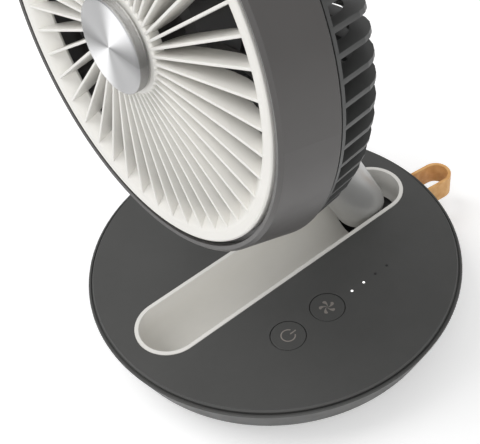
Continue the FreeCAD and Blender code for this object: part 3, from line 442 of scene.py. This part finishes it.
def spun_aluminium():
    material, tree, bsdf = shader("spun_aluminium")
    bsdf.inputs["Metallic"].default_value = 1.0
    bsdf.inputs["Roughness"].default_value = 0.27
    bsdf.inputs["Anisotropic"].default_value = 0.95
    uv = add(tree, "ShaderNodeUVMap", set_uv_map="turning")
    split = tree.nodes.new("ShaderNodeSeparateXYZ")
    tree.links.new(uv.outputs["UV"], split.inputs[0])
    rings = add(tree, "ShaderNodeTexNoise", Scale=420.0, Detail=3.0, set_noise_dimensions="1D")
    tree.links.new(split.outputs["Y"], rings.inputs["W"])
    tint = add(tree, "ShaderNodeMix", set_data_type="RGBA")
    tint.inputs[6].default_value = (0.86, 0.86, 0.86, 1)
    tint.inputs[7].default_value = (1.0, 1.0, 1.0, 1)
    tree.links.new(rings.outputs["Fac"], tint.inputs[0])
    # Painted reflection: the wedge greys of painted highlight and shade multiply the colour of the spun rings.
    painted_sheen = add(tree, "ShaderNodeMix", set_data_type="RGBA", set_blend_type="MULTIPLY")
    painted_sheen.inputs[0].default_value = 1.0
    tree.links.new(tint.outputs[2], painted_sheen.inputs[6])
    tree.links.new(painted_reflection_wedges(tree, split.outputs["X"]), painted_sheen.inputs[7])
    tree.links.new(painted_sheen.outputs[2], bsdf.inputs["Base Color"])
    tangent = add(tree, "ShaderNodeTangent", set_direction_type="UV_MAP", set_uv_map="turning")
    tree.links.new(tangent.outputs["Tangent"], bsdf.inputs["Tangent"])
    bump = add(tree, "ShaderNodeBump", Strength=0.15, Distance=0.01 * mm)
    tree.links.new(rings.outputs["Fac"], bump.inputs["Height"])
    tree.links.new(bump.outputs["Normal"], bsdf.inputs["Normal"])
    return material


def wrap_around(mesh):
    """UV whose U is the share of a turn about Z and whose V grows outwards over the rings."""
    full = 2 * math.pi
    uvs = mesh.uv_layers.new(name="turning")
    for face in mesh.polygons:
        corners = [mesh.vertices[mesh.loops[li].vertex_index].co for li in face.loop_indices]
        angles = [math.atan2(v.y, v.x) if v.xy.length > 1e-6 else None for v in corners]
        known = [a for a in angles if a is not None]
        for li, v, a in zip(face.loop_indices, corners, angles):
            if a is None:
                a = sum(k + (full if max(known) - k > math.pi else 0) for k in known) / len(known)
            elif max(known) - a > math.pi:
                a += full
            uvs.data[li].uv = (a / full, v.xy.length * 20 + v.z * 3)


def hub_cap():
    rim, seat, front, back = 20.2, 15.0, 7.05, 2.0
    profile = [
        (0.0, front), (6, 7.02), (13, 6.93), (18.2, 6.8), (19.3, 6.72), (19.8, 6.55), (20.1, 6.25),
        (rim, 5.8), (rim, 2.7), (20.05, 2.25), (19.6, back), (seat, back), (seat, 1.0), (0.0, 1.0)]
    mesh = lathe("hub_cap_spun", profile, None, 256, closed=False)
    wrap_around(mesh)
    mesh.transform(head_frame)
    obj = new_object("hub_cap_spun", mesh, "head", spun_aluminium(), 30)
    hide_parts("hub_cap")


hub_cap()


# Front grille: thick off-white ring with a steep inner cone, 45 thin upright vanes that pass
# beside the centre and run into the cone, and the collar that carries the hub cap.
def front_grille():
    beside_centre = 4.8

    def along(radius):
        return math.sqrt(radius ** 2 - beside_centre ** 2)

    lip, bend, tip, start = along(77.4), along(84.4), along(84.0), along(21.6)
    back = smooth_path([
        (lip + 0.7, -7.2), (lip - 5.0, -8.4), (lip - 12.0, -9.8), ((start + lip) / 2, -10.6),
        (start + 11.0, -10.6), (start + 5.0, -9.0), (start, -4.2)], 5)
    outline = back + [(start, 1.0), (tip, -0.6), (tip, -1.3), (bend - 2.0, -2.9)]
    vane_thickness, vane_count, first_angle = 1.3, 45, 6.3
    vane = plate("vane", outline, vane_thickness, 0.3)
    vane.transform(Matrix.Translation((0, -beside_centre * mm, 0)))
    vanes = repeated("vanes", vane, vane_count, first_angle, off_white)
    ring_corners = [
        (89.3, -0.6), (88.5, 0), (84.8, -0.4), (83.5, -0.8), (82.2, -1.9), (77.4, -6.8), (77.6, -7.8),
        (78.4, -8.1), (82.6, -4.2), (89.3, -4.2)]
    ring_radii = [0.5, 0.7, 1.2, 1.0, 1.6, 0.5, 0.4, 0.3, 0, 0]
    ring = lathe("grille_ring", rounded(ring_corners, ring_radii), None, 288)
    collar_corners = [(0, 1.0), (21.8, 1.0), (22.6, 0.2), (22.6, -4.4), (20.6, -4.4), (20.6, -1.6), (0, -1.6)]
    collar_radii = [0, 0.5, 0.5, 0.3, 0.2, 0.2, 0]
    collar = lathe("grille_collar", rounded(collar_corners, collar_radii), None, 144, closed=False)
    mesh = joined("front_grille_vanes", [ring, collar, vanes], head_frame)
    obj = new_object("front_grille_vanes", mesh, "head", off_white, 35)
    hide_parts("front_grille")


front_grille()


# Button marks: a power ring with its bar on one button and a five-bladed fan on the other,
# both printed in a thin pale ink.
ink = moulded("printed_ink", (0.25, 0.225, 0.205), 0.55, mottle=0.12, depth=0.004, wear=0)


def marks():
    outer, inner, film, sunk = 3.9, 3.25, 0.05, 0.03 * mm
    gap, steps = 30, 40
    arc = [math.radians(90 + gap + (360 - 2 * gap) * i / steps) for i in range(steps + 1)]
    ring = [(outer * math.cos(a), outer * math.sin(a)) for a in arc]
    ring += [(inner * math.cos(a), inner * math.sin(a)) for a in arc[::-1]]
    bar = rounded([(-0.33, 1.3), (0.33, 1.3), (0.33, 5.1), (-0.33, 5.1)], [0.3] * 4, 3)
    power = [plate("power_ring", ring, film, 0, False), plate("power_bar", bar, film, 0, False)]
    left = [(0.25, 0.0), (0.95, 1.3), (0.85, 2.6), (0.55, 3.5)]
    right = [(1.2, 4.0), (2.1, 3.7), (2.45, 2.9), (1.9, 1.6), (0.7, 0.1)]
    blade = plate("fan_mark_blade", smooth_path(left + right, 4), film, 0, False)
    fan = [repeated("fan_mark", blade, 5, -45.0, ink)]
    for meshes, node in ((power, "power_button"), (fan, "speed_button")):
        low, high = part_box(node)
        place = Matrix.Translation(((low.x + high.x) / 2, (low.y + high.y) / 2, high.z - sunk))
        new_object(node + "_mark", joined(node + "_mark", meshes, place), node, ink)


marks()


# Camera at the photo's angle: slightly rolled, looking down over the front right of the base.
# Distance, target and lens are in millimetres, the lens from its length in picture pixels.
def place_camera():
    picture_width, lens_pixels, sensor, distance = 480, 1017.03, 36, 564.67
    a, e, roll = math.radians(56.33), math.radians(45.85), math.radians(-7.64)
    target = Vector((-31.98, 3.57, 33.0)) * mm
    back = Vector((math.sin(a) * math.cos(e), -math.cos(a) * math.cos(e), math.sin(e)))
    right = Vector((math.cos(a), math.sin(a), 0))
    up = back.cross(right)
    rolled_right = right * math.cos(roll) + up * math.sin(roll)
    rolled_up = -right * math.sin(roll) + up * math.cos(roll)
    camera = bpy.data.cameras.new("photo_camera")
    camera.sensor_width = sensor
    camera.lens = lens_pixels / picture_width * sensor
    camera.clip_start = 0.01
    obj = bpy.data.objects.new("photo_camera", camera)
    place = Matrix((rolled_right, rolled_up, back)).transposed().to_4x4()
    place.translation = target + back * distance * mm
    obj.matrix_world = place
    bpy.context.scene.collection.objects.link(obj)
    bpy.context.scene.camera = obj


place_camera()


# Studio: white floor, soft white sky, one large key light above and a weaker fill. The floor
# glows a little for the camera and in reflections only, so it stays white and keeps the shadow.
def floor():
    half = 6.0
    mesh = bpy.data.meshes.new("floor")
    corners = [(-half, -half, 0), (half, -half, 0), (half, half, 0), (-half, half, 0)]
    mesh.from_pydata(corners, [], [(0, 1, 2, 3)])
    obj = bpy.data.objects.new("floor", mesh)
    bpy.context.scene.collection.objects.link(obj)
    material, tree, bsdf = shader("floor_white")
    bsdf.inputs["Base Color"].default_value = (0.93, 0.93, 0.93, 1)
    bsdf.inputs["Roughness"].default_value = 0.9
    bsdf.inputs["Specular IOR Level"].default_value = 0.0
    path = tree.nodes.new("ShaderNodeLightPath")
    seen = path.outputs["Is Camera Ray"]
    for ray in ("Is Glossy Ray", "Is Transmission Ray"):
        either = add(tree, "ShaderNodeMath", set_operation="MAXIMUM")
        tree.links.new(seen, either.inputs[0])
        tree.links.new(path.outputs[ray], either.inputs[1])
        seen = either.outputs[0]
    glow = add(tree, "ShaderNodeMath", set_operation="MULTIPLY")
    glow.inputs[1].default_value = 0.3
    tree.links.new(seen, glow.inputs[0])
    bsdf.inputs["Emission Color"].default_value = (1, 1, 1, 1)
    tree.links.new(glow.outputs[0], bsdf.inputs["Emission Strength"])
    mesh.materials.append(material)


def sky():
    world = bpy.data.worlds.new("sky")
    bpy.context.scene.world = world
    world.use_nodes = True
    background = world.node_tree.nodes["Background"]
    background.inputs["Color"].default_value = (1, 1, 1, 1)
    background.inputs["Strength"].default_value = 0.58


def lamp_above(name, place, size, power):
    light = bpy.data.lights.new(name, "AREA")
    light.size = size
    light.energy = power
    obj = bpy.data.objects.new(name, light)
    obj.location = place
    aim = Vector((0, 0, 0.12)) - Vector(place)
    obj.rotation_euler = aim.to_track_quat("-Z", "Y").to_euler()
    bpy.context.scene.collection.objects.link(obj)


floor()
sky()
lamp_above("key", (-0.5, -0.7, 1.5), 1.0, 11.0)
lamp_above("fill", (1.1, -0.9, 1.0), 1.2, 6.5)
bpy.context.scene.view_settings.view_transform = "Standard"
